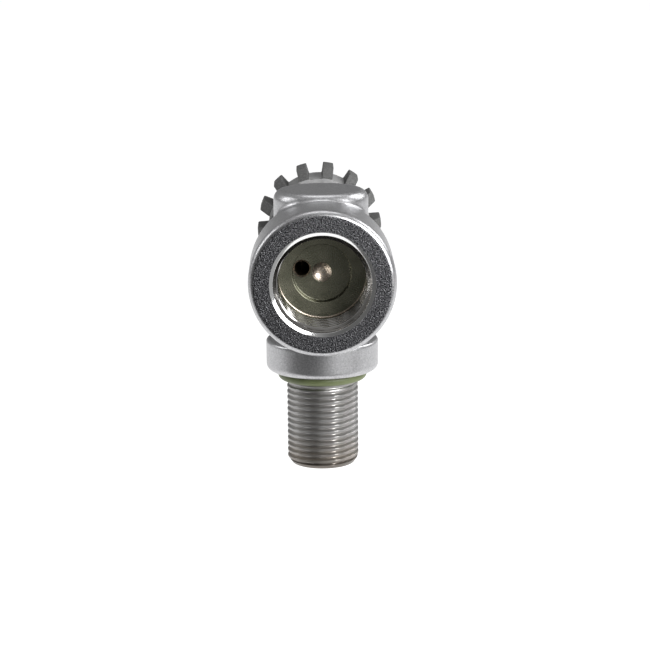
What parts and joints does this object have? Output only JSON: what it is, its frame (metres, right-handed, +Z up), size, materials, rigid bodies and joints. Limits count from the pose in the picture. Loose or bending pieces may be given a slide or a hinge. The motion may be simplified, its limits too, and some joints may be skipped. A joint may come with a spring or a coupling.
{
  "type": "in-line cylinder valve",
  "caption": "In-line high-pressure cylinder valve: round socket outlet in front, threaded neck below, ribbed handwheel behind that turns a stem and lifts a soft seat.",
  "frame": {"origin": "neck axis, in the plane of the underside of the collar", "axes": "+Z up along the neck axis, the outlet faces -Y and the handwheel is at +Y"},
  "size_m": [0.0354, 0.0911, 0.0695],
  "materials": {
    "chromed_body": "satin chrome plate over brass, blasted outlet face, polished edges",
    "chromed_nut": "chrome plate over brass, turned",
    "green_seal": "satin olive green fluorocarbon rubber",
    "bare_brass": "turned brass",
    "seat_nylon": "natural nylon",
    "slip_plastic": "white low-friction plastic",
    "stem_steel": "turned stainless steel",
    "wheel_plastic": "moulded grey plastic",
    "grip_rubber": "matte grey moulded rubber with a fine grain"
  },
  "bodies": {
    "body": {"valve_body": "chromed_body", "neck_o_ring": "green_seal", "bonnet_nut": "chromed_nut", "bonnet_o_ring": "green_seal", "thrust_washer": "slip_plastic", "wheel_slip_ring": "slip_plastic"},
    "spindle": {"stem": "stem_steel", "stem_o_ring_front": "green_seal", "stem_o_ring_rear": "green_seal", "stem_backup_ring": "slip_plastic", "handwheel_core": "wheel_plastic", "handwheel_grip": "grip_rubber", "drive_insert": "bare_brass", "wheel_spring": "stem_steel", "wheel_washer": "stem_steel", "wheel_nut": "stem_steel", "handwheel_cap": "wheel_plastic"},
    "seat_carrier": {"seat_plug": "bare_brass", "seat_insert": "seat_nylon"}
  },
  "joints": [
    {"name": "handwheel_turn", "type": "hinge", "parent": "body", "child": "spindle", "pos_m": [0, 0.055, 0.0262], "axis": [0, 1, 0], "range_deg": [0, 900]},
    {"name": "seat_lift", "type": "slide", "parent": "spindle", "child": "seat_carrier", "axis": [0, 1, 0], "range_m": [0, 0.0025]}
  ],
  "couplings": [
    {"joint": "handwheel_turn", "follows": "seat_lift", "rad_per_m": 6283.2}
  ]
}
